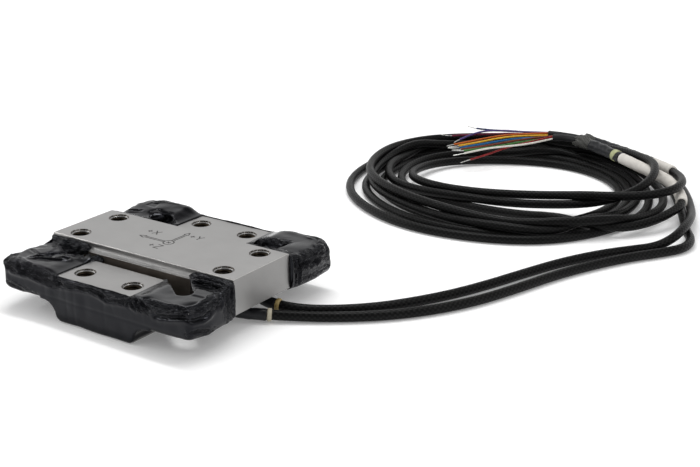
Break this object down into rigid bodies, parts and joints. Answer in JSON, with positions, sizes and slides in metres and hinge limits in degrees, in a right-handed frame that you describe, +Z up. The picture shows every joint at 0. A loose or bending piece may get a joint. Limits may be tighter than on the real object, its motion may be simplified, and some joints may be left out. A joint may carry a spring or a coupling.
{
  "type": "six-axis load cell",
  "caption": "Flat machined flexure body with a raised mounting bar, foot tabs with tapped holes, black sealed strain-gauge arms and coiled signal cables ending in loose wires.",
  "frame": {"origin": "middle of the sensor body in plan, on the plane of its two feet; the cables are not counted", "axes": "+X along the long mounting bar, towards the end where the cables leave; +Y towards the tab on the cable coil's side; +Z up, out of the bar's mounting face"},
  "size_m": [0.3082, 0.5123, 0.036],
  "materials": {
    "steel": "fine milled, semi-bright",
    "sealing_wrap": "glossy black, wrinkled",
    "gauge_foil": "amber film with metal foil",
    "copper": "bare",
    "lead_ribbon": "extruded insulation",
    "cable_braid": "braided black sleeving",
    "heat_shrink": "shrunk tube",
    "ring_plastic": "off-white",
    "label_film": "clear film over white",
    "jacket": "extruded",
    "wire_red": "extruded",
    "wire_white": "extruded",
    "wire_green": "extruded",
    "wire_brown": "extruded",
    "wire_blue": "extruded",
    "wire_yellow": "extruded",
    "wire_orange": "extruded",
    "wire_maroon": "extruded",
    "wire_violet": "extruded",
    "wire_navy": "extruded"
  },
  "bodies": {
    "root": {"sensor_body": "steel", "front_wrap": "sealing_wrap", "back_wrap": "sealing_wrap", "gauges_front_left": "gauge_foil", "solder_tabs_front_left": "copper", "gauges_front_right": "gauge_foil", "solder_tabs_front_right": "copper", "cross_lead_front": "lead_ribbon", "lead_bundle_front": "lead_ribbon", "gauges_back_left": "gauge_foil", "solder_tabs_back_left": "copper", "gauges_back_right": "gauge_foil", "solder_tabs_back_right": "copper", "cross_lead_back": "lead_ribbon", "lead_bundle_back": "lead_ribbon", "cable_coil": "cable_braid", "cable_boot_a": "heat_shrink", "boot_ring_a": "ring_plastic", "cable_a_lead": "cable_braid", "label_sleeve_a": "label_film", "tail_shrink_a": "heat_shrink", "braid_end_a": "cable_braid", "inner_jacket_a": "jacket", "conductor_a_red": "wire_red", "conductor_a_white": "wire_white", "conductor_a_green": "wire_green", "conductor_a_brown": "wire_brown", "conductor_a_blue": "wire_blue", "cable_boot_b": "heat_shrink", "boot_ring_b": "ring_plastic", "cable_b_lead": "cable_braid", "label_sleeve_b": "label_film", "tail_shrink_b": "heat_shrink", "braid_end_b": "cable_braid", "inner_jacket_b": "jacket", "conductor_b_yellow": "wire_yellow", "conductor_b_orange": "wire_orange", "conductor_b_maroon": "wire_maroon", "conductor_b_violet": "wire_violet", "conductor_b_navy": "wire_navy"}
  },
  "joints": []
}
